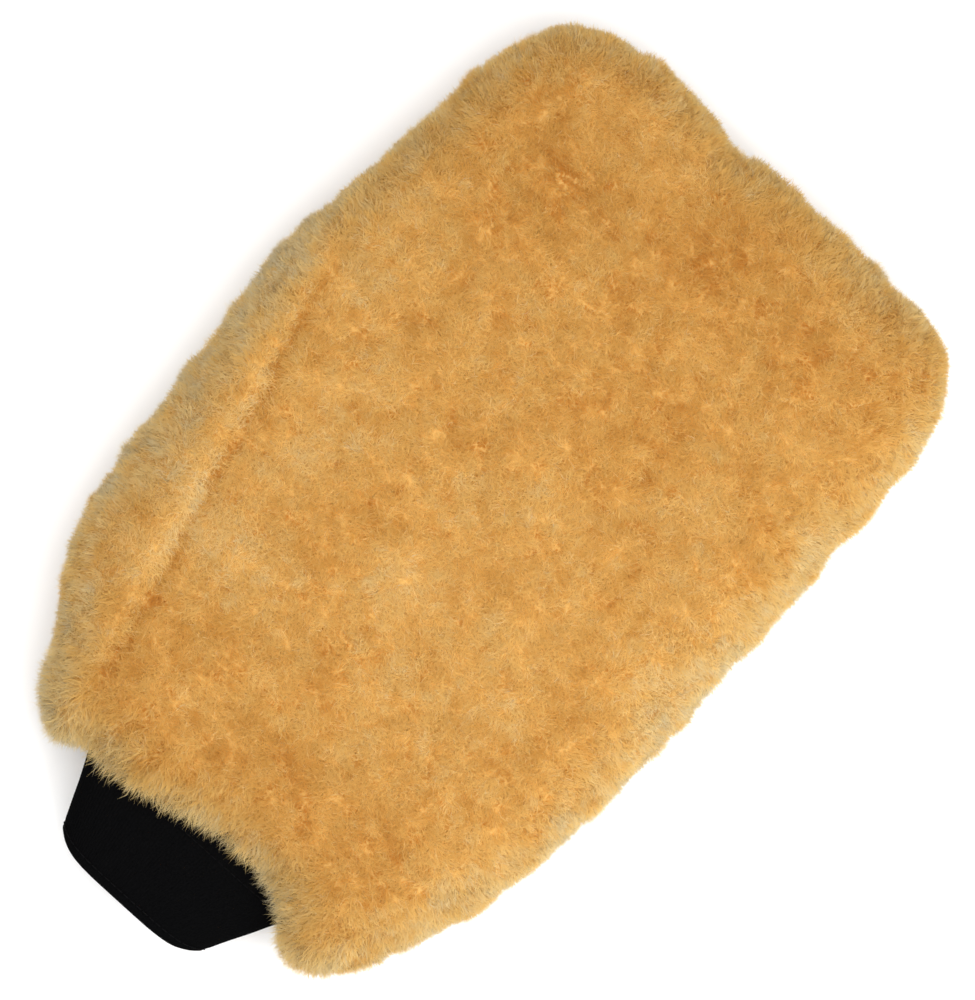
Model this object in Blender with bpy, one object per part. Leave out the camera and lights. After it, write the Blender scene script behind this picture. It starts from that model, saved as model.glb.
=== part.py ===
"""Wash mitt: a padded plush mitt, lying on its back panel, with an elastic wrist cuff.

The mitt lies along Y with the cuff at -Y and the fingertip end at +Y. Z is up, and the
origin is on the surface it lies on, under the middle of its bounding box. All lengths
are in metres. Front and back layers mirror each other about the middle height.
"""
import bpy
import bmesh
import numpy as np
from math import cos, pi, sin

# ---- Driving dimensions ------------------------------------------------------------
TOTAL_LENGTH = 0.299  # cuff mouth to the pile tips at the fingertip end
BODY_LENGTH = 0.281  # plush body, pile tip to pile tip
BODY_WIDTH = 0.189  # plush body across its middle, pile tip to pile tip
BODY_HEIGHT = 0.058  # lying flat, pile tip to pile tip

CORNER_POWER = 5.6  # superellipse power of the plan outline: 2 is an ellipse
CUFF_END_TAPER = 0.19  # share of the width lost towards the cuff
TAPER_REACH = 1.2  # reach of the narrowing, in halves of the body length
FAR_END_SLANT = 0.080  # how far the fingertip edge leans for each metre across

PILE_DEPTH = 0.015  # pile with the ground cloth that it is knitted into
BACKING = 0.0015  # cloth laminated behind the plush
PADDING = 0.004  # foam sheet under the backing
LINING = 0.0008
GAP = 0.0003  # clearance between touching layers

RIM_REACH = 0.024  # how far in from the outline a plush panel rounds over
SEAM_DIP = 0.0015  # how deep the outside of the plush pulls in at a seam
BINDING_WIDTH = 0.0065  # seam binding tape, along Z
BINDING_THICKNESS = 0.002  # tape folded over both seam edges
SEAM_THREAD = 0.0006  # radius of the overlock thread chain
LINING_SEAM_SPACE = 0.0028  # between the side backing and the lining

CUFF_LENGTH = 0.049
CUFF_MOUTH = (0.0270, 0.0085)  # half width and half height of the outside at the mouth
CUFF_ROOT = (0.0430, 0.0112)  # the same at the root, inside the body
CUFF_POWER = 2.4  # superellipse power of the cuff's section
CUFF_FABRIC = 0.0011
ELASTIC = 0.0008
ELASTIC_WIDTH = 0.026
HEM_DEPTH = 0.003  # from the mouth to the closed end of the elastic's channel
CUFF_THREAD = 0.00025  # radius of the cuff's stitch rows
ROOT_TAPE = 0.0005
ROOT_TAPE_WIDTH = 0.006
PASSAGE_CLEARANCE = 0.002  # each side of the cuff where it enters the body

OUTLINE_POINTS = 64
OUTLINE_SAMPLES = 4000  # fine points that the even ones are picked from
RIM_STEPS = 5
CUFF_POINTS = 36

# ---- Heights, worked out from the layers of the back half ---------------------------
BACKING_LOW = PILE_DEPTH + GAP
BACKING_HIGH = BACKING_LOW + BACKING
PADDING_LOW = BACKING_HIGH + GAP
PADDING_HIGH = PADDING_LOW + PADDING
LINING_LOW = PADDING_HIGH + GAP
LINING_HIGH = LINING_LOW + LINING
MIDDLE = BODY_HEIGHT / 2
SIDE_LOW = PILE_DEPTH + GAP
SIDE_HIGH = BODY_HEIGHT - SIDE_LOW

# ---- Insets from the plan outline ---------------------------------------------------
SIDE_PILE_INNER = PILE_DEPTH - 0.001
SIDE_BACKING_OUTER = SIDE_PILE_INNER + GAP
SIDE_BACKING_INNER = SIDE_BACKING_OUTER + BACKING - 0.0005
BINDING_OUTER = SIDE_BACKING_INNER + GAP
BINDING_INNER = BINDING_OUTER + BINDING_THICKNESS
LAYER_EDGE = BINDING_INNER + GAP
LINING_OUTER = SIDE_BACKING_INNER + LINING_SEAM_SPACE + GAP
LINING_INNER = LINING_OUTER + LINING

# ---- Places along Y ------------------------------------------------------------------
MOUTH_Y = -TOTAL_LENGTH / 2
ROOT_Y = MOUTH_Y + CUFF_LENGTH
LAYER_FRONT_Y = ROOT_Y + 2 * GAP

PLUSH = ((0.69, 0.36, 0.09), 0.95)
BACKING_CLOTH = ((0.55, 0.42, 0.24), 0.9)
FOAM = ((0.80, 0.74, 0.55), 0.95)
LINING_CLOTH = ((0.05, 0.05, 0.055), 0.8)
TAPE = ((0.09, 0.09, 0.10), 0.8)
THREAD = ((0.70, 0.48, 0.20), 0.6)
BLACK_ELASTIC = ((0.006, 0.006, 0.007), 0.75)
WHITE_ELASTIC = ((0.75, 0.75, 0.73), 0.8)
BLACK_THREAD = ((0.010, 0.010, 0.012), 0.5)


def clear_scene():
    for old in list(bpy.data.objects):
        bpy.data.objects.remove(old, do_unlink=True)


def material(name, finish):
    """A plain Principled material: base colour and roughness, no metal."""
    colour, roughness = finish
    made = bpy.data.materials.new(name)
    made.use_nodes = True
    shader = made.node_tree.nodes["Principled BSDF"]
    shader.inputs["Base Color"].default_value = (*colour, 1)
    shader.inputs["Roughness"].default_value = roughness
    shader.inputs["Metallic"].default_value = 0.0
    return made


# ---- Outlines --------------------------------------------------------------------------
def signed_power(values, power):
    return np.sign(values) * np.abs(values) ** power


def raw_outline():
    """Superellipse narrowed towards the cuff, with its fingertip edge leaning."""
    angle = np.linspace(0, 2 * pi, OUTLINE_SAMPLES, endpoint=False)
    across = signed_power(np.cos(angle), 2 / CORNER_POWER)
    along = signed_power(np.sin(angle), 2 / CORNER_POWER)
    narrowed = np.clip(-along / TAPER_REACH, 0, 1)
    across = across * (1 - CUFF_END_TAPER * narrowed * narrowed * (3 - 2 * narrowed))
    x = across * BODY_WIDTH / 2
    y = along * BODY_LENGTH / 2
    lean = np.clip(along, 0, 1) ** 2
    y = y + FAR_END_SLANT * x * lean
    return np.stack([x, y], axis=1)


def evenly_spaced(points, count):
    """The closed curve through the points, as count points at equal distances along it."""
    closed = np.vstack([points, points[:1]])
    steps = np.linalg.norm(np.diff(closed, axis=0), axis=1)
    travelled = np.concatenate([[0], np.cumsum(steps)])
    wanted = np.linspace(0, travelled[-1], count, endpoint=False)
    x = np.interp(wanted, travelled, closed[:, 0])
    y = np.interp(wanted, travelled, closed[:, 1])
    return np.stack([x, y], axis=1)


def outward(points):
    """Unit normals of a closed counter-clockwise curve, in the XY plane."""
    tangent = np.roll(points, -1, axis=0) - np.roll(points, 1, axis=0)
    tangent = tangent / np.linalg.norm(tangent, axis=1)[:, None]
    return np.stack([tangent[:, 1], -tangent[:, 0]], axis=1)


def body_outline():
    """Plan outline of the pile tips, set so that its far tip ends the total length."""
    points = evenly_spaced(raw_outline(), OUTLINE_POINTS)
    points[:, 1] += TOTAL_LENGTH / 2 - points[:, 1].max()
    return points


OUTLINE = body_outline()
NORMALS = outward(OUTLINE)


def inset(distance, front=None):
    """The outline moved inwards, and cut straight across at y = front where one is given."""
    points = OUTLINE - NORMALS * distance
    if front is not None:
        points[:, 1] = np.maximum(points[:, 1], front)
    return points


def at_height(points, z):
    return [(x, y, z) for x, y in points]


# ---- Making solids ---------------------------------------------------------------------
def loft(name, sections, finish, ring=False):
    """A closed solid through sections of equal point counts, capped unless it is a ring."""
    mesh = bmesh.new()
    rows = [[mesh.verts.new(point) for point in section] for section in sections]
    pairs = list(zip(rows, rows[1:]))
    if ring:
        pairs.append((rows[-1], rows[0]))
    else:
        mesh.faces.new(rows[0])
        mesh.faces.new(rows[-1])
    for low, high in pairs:
        for index in range(len(low)):
            after = (index + 1) % len(low)
            mesh.faces.new((low[index], low[after], high[after], high[index]))
    bmesh.ops.recalc_face_normals(mesh, faces=mesh.faces)
    data = bpy.data.meshes.new(name)
    mesh.to_mesh(data)
    mesh.free()
    return place(name, data, finish)


def place(name, data, finish):
    made = bpy.data.objects.new(name, data)
    made.data.materials.append(material(name, finish))
    bpy.context.scene.collection.objects.link(made)
    return made


def thread(name, points, radius, finish, closed=False):
    """A round thread along the points, its ends filled."""
    curve = bpy.data.curves.new(name, "CURVE")
    curve.dimensions = "3D"
    curve.bevel_depth = radius
    curve.bevel_resolution = 1
    curve.use_fill_caps = True
    spline = curve.splines.new("POLY")
    spline.points.add(len(points) - 1)
    for control, point in zip(spline.points, points):
        control.co = (*point, 1)
    spline.use_cyclic_u = closed
    return place(name, curve, finish)


def box_cutter(name, low, high):
    """A box that Boolean modifiers cut with; it isn't a piece of the mitt."""
    mesh = bmesh.new()
    bmesh.ops.create_cube(mesh, size=1)
    for vertex in mesh.verts:
        for axis in range(3):
            share = vertex.co[axis] + 0.5
            vertex.co[axis] = low[axis] + share * (high[axis] - low[axis])
    data = bpy.data.meshes.new(name)
    mesh.to_mesh(data)
    mesh.free()
    cutter = bpy.data.objects.new(name, data)
    cutter.hide_render = True
    cutter.display_type = "WIRE"
    bpy.context.scene.collection.objects.link(cutter)
    return cutter


def cut(piece, cutter):
    boolean = piece.modifiers.new("cut", "BOOLEAN")
    boolean.operation = "DIFFERENCE"
    boolean.solver = "EXACT"
    boolean.object = cutter


def mirrored(z):
    """The height in the front half that matches z in the back half."""
    return BODY_HEIGHT - z


# ---- Plush shell -----------------------------------------------------------------------
def plush_panel(name, height):
    """A pile panel, flat inside, whose rim rounds over; height maps back to front."""
    sections = []
    for step in range(RIM_STEPS + 1):
        turn = step / RIM_STEPS * pi / 2
        distance = SEAM_DIP + (RIM_REACH - SEAM_DIP) * (1 - cos(turn))
        z = PILE_DEPTH * (1 - sin(turn))
        sections.append(at_height(inset(distance), height(z)))
    loft(name, sections, PLUSH)


def side_ring(name, profile, finish):
    """A ring round the body with the given section of (inset, z) corners."""
    sections = []
    for point, normal in zip(OUTLINE, NORMALS):
        section = []
        for distance, z in profile:
            x, y = point - normal * distance
            section.append((x, y, z))
        sections.append(section)
    return loft(name, sections, finish, ring=True)


def side_plush(passage):
    bulge = (SIDE_HIGH - SIDE_LOW) / 4
    profile = (
        (SEAM_DIP, SIDE_LOW),
        (0, SIDE_LOW + bulge),
        (0, SIDE_HIGH - bulge),
        (SEAM_DIP, SIDE_HIGH),
        (SIDE_PILE_INNER, SIDE_HIGH),
        (SIDE_PILE_INNER, SIDE_LOW),
    )
    cut(side_ring("side_plush", profile, PLUSH), passage)


def flat_profile(outer, inner, low, high):
    return ((outer, low), (outer, high), (inner, high), (inner, low))


def side_backing(passage):
    profile = flat_profile(SIDE_BACKING_OUTER, SIDE_BACKING_INNER, SIDE_LOW, SIDE_HIGH)
    cut(side_ring("side_backing", profile, BACKING_CLOTH), passage)


def seam_binding(name, height, passage):
    low, high = sorted((height(SIDE_LOW), height(SIDE_LOW + BINDING_WIDTH)))
    profile = flat_profile(BINDING_OUTER, BINDING_INNER, low, high)
    cut(side_ring(name, profile, TAPE), passage)


# ---- Inner layers ----------------------------------------------------------------------
def slab(name, low, high, finish, front=None):
    points = inset(LAYER_EDGE, front)
    loft(name, [at_height(points, low), at_height(points, high)], finish)


def lining_panel(name, height, mouth):
    """Half of the pocket bag: a flat panel with a rim up to the bag's seam."""
    outer = inset(LINING_OUTER, LAYER_FRONT_Y)
    inner = inset(LINING_INNER, LAYER_FRONT_Y + LINING)
    rim = MIDDLE - GAP / 2
    sections = (
        at_height(outer, height(LINING_LOW)),
        at_height(outer, height(rim)),
        at_height(inner, height(rim)),
        at_height(inner, height(LINING_HIGH)),
    )
    cut(loft(name, sections, LINING_CLOTH), mouth)


def body_thread(name, distance, z):
    """A seam thread round the three closed sides, ending clear of the cuff."""
    points = inset(distance)
    clear = CUFF_ROOT[0] + PASSAGE_CLEARANCE + 2 * SEAM_THREAD
    at_cuff = (points[:, 1] < ROOT_Y) & (np.abs(points[:, 0]) < clear)
    first = np.nonzero(at_cuff)[0][-1] + 1
    kept = np.roll(points, -first, axis=0)[: len(points) - at_cuff.sum()]
    thread(name, at_height(kept, z), SEAM_THREAD, THREAD)


# ---- Cuff ------------------------------------------------------------------------------
def cuff_point(turn, y, depth):
    """A point of the cuff, depth in from its outside, at the angle turn round it."""
    share = (y - MOUTH_Y) / CUFF_LENGTH
    half = [
        mouth + (root - mouth) * share - depth
        for mouth, root in zip(CUFF_MOUTH, CUFF_ROOT)
    ]
    x = half[0] * signed_power(cos(turn), 2 / CUFF_POWER)
    z = half[1] * signed_power(sin(turn), 2 / CUFF_POWER)
    return (x, y, MIDDLE + z)


def cuff_turns():
    return [index / CUFF_POINTS * 2 * pi for index in range(CUFF_POINTS)]


def cuff_ring(name, profile, finish):
    """A ring round the cuff with the given section of (depth, y) corners."""
    sections = [
        [cuff_point(turn, y, depth) for depth, y in profile] for turn in cuff_turns()
    ]
    loft(name, sections, finish, ring=True)


CUFF_CHANNEL = ELASTIC + 2 * GAP
CUFF_WALL = 2 * CUFF_FABRIC + CUFF_CHANNEL


def cuff_fabric():
    """One fabric folded double at the mouth, open at the root for the elastic."""
    middle = CUFF_WALL / 2
    fold = []
    for step in range(5):
        turn = step / 4 * pi
        fold.append((middle * (1 - cos(turn)), MOUTH_Y + middle * (1 - sin(turn))))
    channel_end = MOUTH_Y + HEM_DEPTH
    inside = CUFF_WALL - CUFF_FABRIC
    profile = (
        (0, ROOT_Y),
        *fold,
        (CUFF_WALL, ROOT_Y),
        (inside, ROOT_Y),
        (inside, channel_end),
        (CUFF_FABRIC, channel_end),
        (CUFF_FABRIC, ROOT_Y),
    )
    cuff_ring("cuff_fabric", profile, BLACK_ELASTIC)


def cuff_elastic():
    low = MOUTH_Y + HEM_DEPTH + GAP
    outer = CUFF_FABRIC + GAP
    profile = flat_profile(outer, outer + ELASTIC, low, low + ELASTIC_WIDTH)
    cuff_ring("cuff_elastic", profile, WHITE_ELASTIC)


def cuff_stitch_row(name, y):
    depth = -(CUFF_THREAD + GAP)
    points = [cuff_point(turn, y, depth) for turn in cuff_turns()]
    thread(name, points, CUFF_THREAD, BLACK_THREAD, closed=True)


def cuff_side_thread():
    """Closes the cuff fabric into a loop, on the inside of its left edge."""
    depth = CUFF_WALL + CUFF_THREAD + GAP
    margin = HEM_DEPTH
    ends = (MOUTH_Y + margin, ROOT_Y - margin)
    points = [cuff_point(pi, y, depth) for y in ends]
    thread("cuff_side_thread", points, CUFF_THREAD, BLACK_THREAD)


def cuff_root_tape():
    low = ROOT_Y - ROOT_TAPE_WIDTH
    profile = flat_profile(-GAP - ROOT_TAPE, -GAP, low, ROOT_Y)
    cuff_ring("cuff_root_tape", profile, TAPE)


def build():
    clear_scene()
    reach = CUFF_ROOT[0] + PASSAGE_CLEARANCE
    beyond = BODY_LENGTH
    passage = box_cutter(
        "cuff_passage_cutter",
        (-reach, -beyond, -BODY_HEIGHT),
        (reach, ROOT_Y + PASSAGE_CLEARANCE, 2 * BODY_HEIGHT),
    )
    inside = CUFF_ROOT[0] - CUFF_WALL
    mouth = box_cutter(
        "pocket_mouth_cutter",
        (-inside, -beyond, LINING_HIGH + GAP),
        (inside, LAYER_FRONT_Y + 2 * LINING, mirrored(LINING_HIGH + GAP)),
    )

    def as_back(z):
        return z

    for side, height in (("front", mirrored), ("back", as_back)):
        plush_panel(f"{side}_plush", height)
        backing = sorted((height(BACKING_LOW), height(BACKING_HIGH)))
        slab(f"{side}_backing", *backing, BACKING_CLOTH)
        padding = sorted((height(PADDING_LOW), height(PADDING_HIGH)))
        slab(f"{side}_padding", *padding, FOAM, front=LAYER_FRONT_Y)
        lining_panel(f"lining_{side}", height, mouth)
        seam_binding(f"{side}_seam_binding", height, passage)
        chain = SIDE_LOW + BINDING_WIDTH + GAP + SEAM_THREAD
        middle = (BINDING_OUTER + BINDING_INNER) / 2
        body_thread(f"{side}_seam_thread", middle, height(chain))
    side_plush(passage)
    side_backing(passage)
    body_thread("lining_seam_thread", LINING_OUTER - GAP - SEAM_THREAD, MIDDLE)

    cuff_fabric()
    cuff_elastic()
    elastic_end = MOUTH_Y + HEM_DEPTH + GAP + ELASTIC_WIDTH
    cuff_stitch_row("cuff_hem_thread", MOUTH_Y + HEM_DEPTH)
    cuff_stitch_row("cuff_channel_thread", elastic_end + GAP)
    cuff_stitch_row("cuff_root_thread", ROOT_Y - ROOT_TAPE_WIDTH - HEM_DEPTH)
    cuff_side_thread()
    cuff_root_tape()


build()
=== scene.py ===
"""Looks of the wash mitt: plush pile in real strands over a padded body, and an elastic cuff."""
from math import cos, pi, radians, sin

import bmesh
import bpy
import numpy as np
from mathutils import Matrix, Vector, noise
from mathutils.kdtree import KDTree


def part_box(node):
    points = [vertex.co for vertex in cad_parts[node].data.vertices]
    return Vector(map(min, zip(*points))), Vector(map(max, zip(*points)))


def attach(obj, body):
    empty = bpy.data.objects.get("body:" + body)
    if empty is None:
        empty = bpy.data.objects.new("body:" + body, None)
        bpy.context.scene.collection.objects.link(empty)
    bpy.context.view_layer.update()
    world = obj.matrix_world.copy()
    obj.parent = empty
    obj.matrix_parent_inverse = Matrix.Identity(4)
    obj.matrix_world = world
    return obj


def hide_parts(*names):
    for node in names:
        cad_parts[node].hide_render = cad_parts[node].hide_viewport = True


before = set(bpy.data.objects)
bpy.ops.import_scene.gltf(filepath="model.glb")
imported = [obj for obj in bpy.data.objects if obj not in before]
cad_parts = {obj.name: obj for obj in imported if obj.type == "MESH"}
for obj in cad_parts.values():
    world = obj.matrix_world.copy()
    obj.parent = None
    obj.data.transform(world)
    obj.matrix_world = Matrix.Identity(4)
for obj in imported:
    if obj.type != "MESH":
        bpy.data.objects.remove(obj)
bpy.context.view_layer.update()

# ---- Places, read from the frame -----------------------------------------------------
SIDE_LOW, SIDE_HIGH = (np.array(corner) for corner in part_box("side_plush"))
BACK_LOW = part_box("back_plush")[0]
FRONT_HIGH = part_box("front_plush")[1]
CUFF_LOW, CUFF_HIGH = (np.array(corner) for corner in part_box("cuff_fabric"))
HALF_WIDTH = SIDE_HIGH[0]
HALF_LENGTH = (SIDE_HIGH[1] - SIDE_LOW[1]) / 2
CENTRE_Y = (SIDE_HIGH[1] + SIDE_LOW[1]) / 2
CENTRE = np.array([0.0, CENTRE_Y])
MIDDLE_Z = (BACK_LOW[2] + FRONT_HIGH[2]) / 2
HALF_HEIGHT = (FRONT_HIGH[2] - BACK_LOW[2]) / 2

# ---- Shape of the body ---------------------------------------------------------------
# Plan outline of the pile tips, counter-clockwise from the right side's middle, as shares
# of the body's half width and half length.
OUTLINE_SHAPE = [
    (0.98, 0.00), (0.98, 0.36), (0.97, 0.65), (0.95, 0.80), (0.84, 0.94), (0.60, 0.98),
    (0.05, 0.99), (-0.12, 0.965), (-0.25, 0.985), (-0.54, 0.995), (-0.78, 0.95), (-0.91, 0.80),
    (-0.94, 0.59), (-1.00, 0.33), (-1.02, 0.08), (-0.98, -0.14), (-0.95, -0.35), (-0.92, -0.55),
    (-0.83, -0.68), (-0.70, -0.82), (-0.60, -0.92), (-0.51, -0.955), (-0.41, -0.915),
    (-0.26, -0.93), (-0.12, -0.92), (0.03, -0.885), (0.22, -0.878), (0.40, -0.89), (0.49, -0.945),
    (0.57, -0.97), (0.68, -0.94), (0.76, -0.85), (0.87, -0.69), (0.94, -0.48), (0.98, -0.20),
]
PILE_DEPTH = 0.0150  # from the pile tips to the ground cloth
PILE_STAND = 0.0034  # how far the strands stand above the skin they grow from
RIM_REACH = 0.023  # how far in the sides round over
RIM_POWER = 2.2  # of the curve that they round over by
CROWN_REACH = 0.085  # how far in the face keeps rising
CROWN_SHARE = 0.16
FLOOR_GAP = 0.0004  # the lowest any strand reaches
# Unevenness is given as layers of noise, each with its height, its size and its seed.
FACE_WAVES = ((0.0007, 0.030, 11), (0.0004, 0.010, 12))
SIDE_SWELL = 0.0007
SIDE_WAVES = ((0.0012, 0.012, 13), (0.0016, 0.007, 14))

# The crease on the front, from its cuff end to where it meets the left edge.
CREASE_START = np.array([-0.046, -0.101])
CREASE_END = np.array([-0.085, 0.069])
CREASE_DEPTH = 0.0010
CREASE_WIDTH = 0.0036
CREASE_FADE = 0.006  # above the skin's middle, where the crease begins to show
RIDGE_RISE = 0.0025
RIDGE_OFFSET = 0.0055  # from the valley's middle to the ridge beside it
RIDGE_WIDTH = (0.0150, 0.0034)  # outwards, and towards the valley
PARTED_WIDTH = 0.0013  # of the line along the valley where the pile opens

# The cuff's section is a superellipse that widens from its mouth to its root.
CUFF_MOUTH = (0.0272, 0.0085)  # half width and half height outside, at the mouth
CUFF_NECK = (0.0390, 0.0100)  # where it comes out of the plush
CUFF_ROOT = (0.0430, 0.0112)
CUFF_NECK_SHARE = 0.54  # of the cuff's length, from its mouth
CUFF_LEAN = (0.0017, 0.0030, 0.0010)  # how far to the right it lies at mouth, neck and root
CUFF_POWER = 2.4
CUFF_WALL = 0.0034  # two layers of fabric with the elastic between them
ELASTIC = 0.0008
CUFF_BOW = 0.0036  # how far the mouth's corners lie back from its middle
BOW_POWER = 6
CUFF_RIBS = 150
RIB_RISE = 0.00009
GATHERS = ((0.00035, 0.007, 21), (0.0003, 0.016, 22))
GATHER_STRETCH = 0.25  # along the cuff, so that the gathers run lengthwise
ROW_PINCH = 0.00025  # how deep a stitch row pulls the knit in
ROW_PINCH_WIDTH = 0.0007
PASSAGE_GAP = 0.0004  # between the cuff's outside and the opening in the pile
HEM_ROW = 0.0030  # stitch rows, from the mouth
CHANNEL_ROW = 0.0295
ROOT_ROW = 0.0400
STITCH_PITCH = 0.0026
STITCH_RADIUS = 0.00018
STITCH_SHARE = 0.82  # of its pitch that a stitch covers
STITCH_LIFT = 0.00005

LINING_THICKNESS = 0.0008
LINING_TURN = 0.0050  # how far in the lining turns down to its seam
LINING_POWER = 2.4
LINING_WRINKLE = 0.0006
LINING_MOUTH_INSET = 0.0045  # below the cuff's outside at its root
LINING_MOUTH_DEPTH = 0.012  # of the mouth edge, along the bag
BAND_THICKNESS = 0.0010
BAND_RIPPLE = 0.0003
BAND_RIPPLE_TURNS = (400, 330)  # radians in a metre, along X and along Y

# ---- The pile's strands --------------------------------------------------------------
STRANDS = 620000
LOCKS = 30000
SEED = 7
ROOT_CLEARANCE = 0.0006  # from the cuff's outside to the nearest root
STRAND_LENGTH = 0.0052
LENGTH_WAVES = ((0.12, 0.010, 3), (0.16, 0.005, 6))  # from lock to lock, as shares
LENGTH_SPREAD = (0.75, 1.12)  # from strand to strand, as shares
STRAND_WIDTHS = (0.00012, 0.00020)
CURL = 0.18
TWIST = 0.25
SKY_SHARE = 0.8  # how far a side strand's front turns to the sky, or down on the back
FRONT_SHARE = 0.10  # of a strand's own front in its shading
LOCK_TURNS = ((2.4 * pi, 0.030, 1),)
LOCK_LEAN = 0.50
LEAN_WAVES = ((0.16, 0.020, 2),)
LOCK_LEAN_SPREAD = 0.10
LOCK_LEAN_LIMITS = (0.15, 0.85)
STRAND_LEAN = 0.34  # each strand's own lean, and how much more of it the sides have
SIDE_LEAN = 0.30
LEAN_LIMITS = (0.05, 0.9)
PARTED_LEAN = 1.0  # away from a parting, and away from the crease
CREASED_LEAN = 0.5
PULLS = (0.05, 0.42)  # how far a tip is drawn to the middle of its lock
SIDE_PULL_LOSS = 0.6
# How much shorter strands are on a parting, along the crease and on the sides, and how
# much longer in the fringe over the cuff.
PARTED_LOSS, CREASED_LOSS, SIDE_LOSS, LIP_GAIN = 0.42, 0.25, 0.46, 0.55

PARTINGS = 1000
PARTING_WIDTH = 0.00065
PARTING_REACH = (0.0015, 0.0055)  # half its length
PARTING_BOW = 60
LIP = (-0.100, -0.112)  # Y where the fringe over the cuff begins, and where it is full
LIP_HALF_WIDTH = 0.062

# A strand's tone runs from 0, orange, to 1, pale.
LOCK_TONE = 0.42
TONE_WAVES = ((0.16, 0.026, 4), (0.26, 0.0036, 5))
TONE_SPREAD = 0.04
# Painted glints: a few strands paler than their lock stand for specks of light off glossy fibres.
GLINT_STRANDS = 0.05  # the share of strands that are paler than their lock, and by how much
GLINT_STEP = 0.30
# Painted shade: strands on a parting and along the crease are made darker.
PARTED_SHADE = 0.40  # how much darker, on a parting and along the crease alike
# Painted highlight on the ridge and painted light on the sides, both as paler tones; the fringe
# over the cuff is paler too.
RIDGE_HIGHLIGHT, SIDE_LIGHT, LIP_TONE = 0.12, 0.44, 0.12  # how much paler
# Painted shade towards both ends: Y where the tone begins to fall towards an end, Y where it
# stops, and by how much.
END_SHADES = ((0.01, 0.10, 0.13), (-0.03, -0.10, 0.12))
TONE_LIMITS = (0.01, 0.97)


# ---- Small tools ---------------------------------------------------------------------
def signed_power(values, power):
    return np.sign(values) * np.abs(values) ** power


def smooth_step(low, high, values):
    share = np.clip((values - low) / (high - low), 0, 1)
    return share * share * (3 - 2 * share)


def unit(vectors):
    return vectors / np.maximum(np.linalg.norm(vectors, axis=-1, keepdims=True), 1e-9)


def noise_at(points, size, seed):
    """Perlin-like noise from -1 to 1, one value for each point."""
    shift = Vector((seed * 17.3, seed * 5.1, seed * 9.7))
    return np.array([noise.fractal(Vector(at) / size + shift, 0.8, 2.0, 2) for at in points])


def unevenness(points, layers, level=0.0):
    """Layers of noise on top of a level."""
    for height, size, seed in layers:
        level = level + height * noise_at(points, size, seed)
    return level


def add_piece(name, data, material):
    """A new object in the scene with one material."""
    piece = bpy.data.objects.new(name, data)
    bpy.context.scene.collection.objects.link(piece)
    piece.data.materials.append(material)
    return piece


# ---- The outline and the skin --------------------------------------------------------
def outline(count=720):
    """Plan outline of the pile tips: a smooth closed curve through the shape's points."""
    knots = np.array(OUTLINE_SHAPE) * [HALF_WIDTH, HALF_LENGTH] + [0, CENTRE_Y]
    before, after, beyond = (np.roll(knots, -step, axis=0) for step in (-1, 1, 2))
    curve = []
    for share in np.linspace(0, 1, 40, endpoint=False):
        curve.append(
            knots
            + 0.5 * share * (after - before)
            + 0.5 * share**2 * (2 * before - 5 * knots + 4 * after - beyond)
            + 0.5 * share**3 * (3 * (knots - after) + beyond - before)
        )
    points = np.stack(curve, axis=1).reshape(-1, 2)
    closed = np.vstack([points, points[:1]])
    travelled = np.concatenate(
        [[0], np.cumsum(np.linalg.norm(np.diff(closed, axis=0), axis=1))]
    )
    wanted = np.linspace(0, travelled[-1], count, endpoint=False)
    return np.stack(
        [np.interp(wanted, travelled, closed[:, axis]) for axis in range(2)], axis=1
    )


OUTLINE = outline()


def edge_distance(points, rim):
    """Distance of each XY point to a closed outline."""
    best = np.full(len(points), 1e9)
    for start, end in zip(rim, np.roll(rim, -1, axis=0)):
        run = end - start
        share = np.clip(((points - start) @ run) / (run @ run), 0, 1)
        gap = np.linalg.norm(points - start - share[:, None] * run, axis=1)
        best = np.minimum(best, gap)
    return best


def crease_place(points):
    """How far along the crease a point is, from 0 to 1, and how far to its right."""
    run = CREASE_END - CREASE_START
    length = np.linalg.norm(run)
    run = run / length
    offset = points - CREASE_START
    along = offset @ run / length
    right = offset @ np.array([run[1], -run[0]])
    return along, right


def crease_strength(along):
    return smooth_step(-0.12, 0.10, along) * (1 - smooth_step(0.55, 1.05, along))


def ridge_profile(right):
    """The ridge left of the valley: steep towards it, and falling slowly outwards."""
    offset = right + RIDGE_OFFSET
    width = np.where(offset < 0, RIDGE_WIDTH[0], RIDGE_WIDTH[1])
    return np.exp(-((offset / width) ** 2))


def crease_height(points):
    along, right = crease_place(points)
    valley = -CREASE_DEPTH * np.exp(-((right / CREASE_WIDTH) ** 2))
    return (valley + RIDGE_RISE * ridge_profile(right)) * crease_strength(along)


def half_thickness(distance, stand):
    """Height of the skin above the middle, at a distance in from the skin's own outline."""
    rim = (1 - (1 - np.clip(distance / RIM_REACH, 0, 1)) ** RIM_POWER) ** (1 / RIM_POWER)
    crown = np.sqrt(1 - (1 - np.clip(distance / CROWN_REACH, 0, 1)) ** 2)
    full = HALF_HEIGHT - stand
    return full * ((1 - CROWN_SHARE) * rim + CROWN_SHARE * crown)


def rings_within(rim, rings):
    """Rings of points from the middle out to a rim, and how far in from it each lies.

    They crowd towards the rim, where a surface turns fastest.
    """
    share = np.sin(np.linspace(0, pi / 2, rings + 1))[1:]
    flat = (CENTRE + share[:, None, None] * (rim - CENTRE)).reshape(-1, 2)
    reach = np.linalg.norm(rim - CENTRE, axis=1)
    return flat, (1 - np.repeat(share, len(rim))) * np.tile(reach, rings)


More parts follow.
